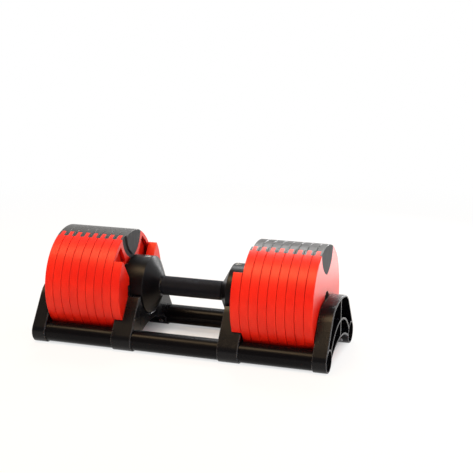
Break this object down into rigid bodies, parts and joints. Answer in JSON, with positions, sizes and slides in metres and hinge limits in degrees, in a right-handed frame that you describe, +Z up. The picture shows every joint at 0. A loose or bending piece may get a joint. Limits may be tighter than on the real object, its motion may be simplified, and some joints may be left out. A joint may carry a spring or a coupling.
{
  "type": "adjustable dumbbell",
  "caption": "Adjustable dumbbell with a twist handle between two stacks of round plates, resting in a cradle of two rails and four brackets.",
  "frame": {"origin": "On the ground under the middle of the grip", "axes": "+X along the handle to its right end, +Y to the back, +Z up"},
  "size_m": [0.4814, 0.1846, 0.175],
  "materials": {
    "red_enamel": "satin red enamel",
    "black_nylon": "matt black nylon",
    "black_casing": "satin black moulding",
    "black_bracket": "satin black moulding",
    "black_rail": "satin black paint",
    "black_knurl": "black oxide with a fine knurl",
    "steel": "turned",
    "dark_screws": "zinc plated",
    "dial_black": "matt black with pale numbers",
    "bush_acetal": "turned black acetal",
    "clear_lens": "clear polished"
  },
  "bodies": {
    "cradle": {"rail_front": "black_rail", "rail_rear": "black_rail", "rail_end_plugs": "black_bracket", "end_bracket_left": "black_bracket", "end_bracket_right": "black_bracket", "inner_bracket_left": "black_bracket", "inner_bracket_right": "black_bracket", "rail_screws": "dark_screws"},
    "handle": {"hub_left": "black_casing", "hub_right": "black_casing", "end_cover_left": "black_casing", "end_cover_right": "black_casing", "cover_screws": "dark_screws", "short_plate_left": "red_enamel", "short_plate_right": "red_enamel", "short_plate_screws": "dark_screws", "window_lenses": "clear_lens", "grip_bushes": "bush_acetal"},
    "grip": {"grip_sleeve": "black_knurl", "scroll_sleeve": "steel", "number_dial_left": "dial_black", "number_dial_right": "dial_black"},
    "rod_left": {"selector_rod_left": "steel"},
    "rod_right": {"selector_rod_right": "steel"},
    "pin_left": {"lock_pin_left": "steel"},
    "pin_right": {"lock_pin_right": "steel"},
    "plate_left_1": {"plate_left_1": "red_enamel", "insert_left_1": "black_nylon"},
    "plate_right_1": {"plate_right_1": "red_enamel", "insert_right_1": "black_nylon"},
    "plate_left_2": {"plate_left_2": "red_enamel", "insert_left_2": "black_nylon"},
    "plate_right_2": {"plate_right_2": "red_enamel", "insert_right_2": "black_nylon"},
    "plate_left_3": {"plate_left_3": "red_enamel", "insert_left_3": "black_nylon"},
    "plate_right_3": {"plate_right_3": "red_enamel", "insert_right_3": "black_nylon"},
    "plate_left_4": {"plate_left_4": "red_enamel", "insert_left_4": "black_nylon"},
    "plate_right_4": {"plate_right_4": "red_enamel", "insert_right_4": "black_nylon"},
    "plate_left_5": {"plate_left_5": "red_enamel", "insert_left_5": "black_nylon"},
    "plate_right_5": {"plate_right_5": "red_enamel", "insert_right_5": "black_nylon"},
    "plate_left_6": {"plate_left_6": "red_enamel", "insert_left_6": "black_nylon"},
    "plate_right_6": {"plate_right_6": "red_enamel", "insert_right_6": "black_nylon"},
    "plate_left_7": {"plate_left_7": "red_enamel", "insert_left_7": "black_nylon"},
    "plate_right_7": {"plate_right_7": "red_enamel", "insert_right_7": "black_nylon"},
    "plate_left_8": {"plate_left_8": "red_enamel", "insert_left_8": "black_nylon"},
    "plate_right_8": {"plate_right_8": "red_enamel", "insert_right_8": "black_nylon"}
  },
  "joints": [
    {"name": "handle_lift", "type": "slide", "parent": "cradle", "child": "handle", "axis": [0, 0, 1], "range_m": [0, 0.32]},
    {"name": "handle_twist", "type": "hinge", "parent": "handle", "child": "grip", "pos_m": [0, 0, 0.0885], "axis": [1, 0, 0], "range_deg": [0, 320]},
    {"name": "rod_left_slide", "type": "slide", "parent": "handle", "child": "rod_left", "axis": [-1, 0, 0], "range_m": [0, 0.1146]},
    {"name": "rod_right_slide", "type": "slide", "parent": "handle", "child": "rod_right", "axis": [1, 0, 0], "range_m": [0, 0.1146]},
    {"name": "pin_left_drop", "type": "slide", "parent": "handle", "child": "pin_left", "axis": [0, 0, -1], "range_m": [0, 0.0041]},
    {"name": "pin_right_drop", "type": "slide", "parent": "handle", "child": "pin_right", "axis": [0, 0, -1], "range_m": [0, 0.0041]},
    {"name": "plate_left_1_lift", "type": "slide", "parent": "cradle", "child": "plate_left_1", "axis": [0, 0, 1], "range_m": [0, 0.18]},
    {"name": "plate_right_1_lift", "type": "slide", "parent": "cradle", "child": "plate_right_1", "axis": [0, 0, 1], "range_m": [0, 0.18]},
    {"name": "plate_left_2_lift", "type": "slide", "parent": "cradle", "child": "plate_left_2", "axis": [0, 0, 1], "range_m": [0, 0.18]},
    {"name": "plate_right_2_lift", "type": "slide", "parent": "cradle", "child": "plate_right_2", "axis": [0, 0, 1], "range_m": [0, 0.18]},
    {"name": "plate_left_3_lift", "type": "slide", "parent": "cradle", "child": "plate_left_3", "axis": [0, 0, 1], "range_m": [0, 0.18]},
    {"name": "plate_right_3_lift", "type": "slide", "parent": "cradle", "child": "plate_right_3", "axis": [0, 0, 1], "range_m": [0, 0.18]},
    {"name": "plate_left_4_lift", "type": "slide", "parent": "cradle", "child": "plate_left_4", "axis": [0, 0, 1], "range_m": [0, 0.18]},
    {"name": "plate_right_4_lift", "type": "slide", "parent": "cradle", "child": "plate_right_4", "axis": [0, 0, 1], "range_m": [0, 0.18]},
    {"name": "plate_left_5_lift", "type": "slide", "parent": "cradle", "child": "plate_left_5", "axis": [0, 0, 1], "range_m": [0, 0.18]},
    {"name": "plate_right_5_lift", "type": "slide", "parent": "cradle", "child": "plate_right_5", "axis": [0, 0, 1], "range_m": [0, 0.18]},
    {"name": "plate_left_6_lift", "type": "slide", "parent": "cradle", "child": "plate_left_6", "axis": [0, 0, 1], "range_m": [0, 0.18]},
    {"name": "plate_right_6_lift", "type": "slide", "parent": "cradle", "child": "plate_right_6", "axis": [0, 0, 1], "range_m": [0, 0.18]},
    {"name": "plate_left_7_lift", "type": "slide", "parent": "cradle", "child": "plate_left_7", "axis": [0, 0, 1], "range_m": [0, 0.18]},
    {"name": "plate_right_7_lift", "type": "slide", "parent": "cradle", "child": "plate_right_7", "axis": [0, 0, 1], "range_m": [0, 0.18]},
    {"name": "plate_left_8_lift", "type": "slide", "parent": "cradle", "child": "plate_left_8", "axis": [0, 0, 1], "range_m": [0, 0.18]},
    {"name": "plate_right_8_lift", "type": "slide", "parent": "cradle", "child": "plate_right_8", "axis": [0, 0, 1], "range_m": [0, 0.18]}
  ],
  "couplings": [
    {"joint": "rod_left_slide", "follows": "handle_twist", "m_per_rad": 0.020501},
    {"joint": "rod_right_slide", "follows": "handle_twist", "m_per_rad": 0.020501},
    {"joint": "pin_left_drop", "follows": "handle_lift", "ratio": 0.0125},
    {"joint": "pin_right_drop", "follows": "handle_lift", "ratio": 0.0125},
    {"joint": "plate_left_1_lift", "follows": "plate_right_1_lift", "ratio": 1},
    {"joint": "plate_left_2_lift", "follows": "plate_right_2_lift", "ratio": 1},
    {"joint": "plate_left_3_lift", "follows": "plate_right_3_lift", "ratio": 1},
    {"joint": "plate_left_4_lift", "follows": "plate_right_4_lift", "ratio": 1},
    {"joint": "plate_left_5_lift", "follows": "plate_right_5_lift", "ratio": 1},
    {"joint": "plate_left_6_lift", "follows": "plate_right_6_lift", "ratio": 1},
    {"joint": "plate_left_7_lift", "follows": "plate_right_7_lift", "ratio": 1},
    {"joint": "plate_left_8_lift", "follows": "plate_right_8_lift", "ratio": 1}
  ]
}
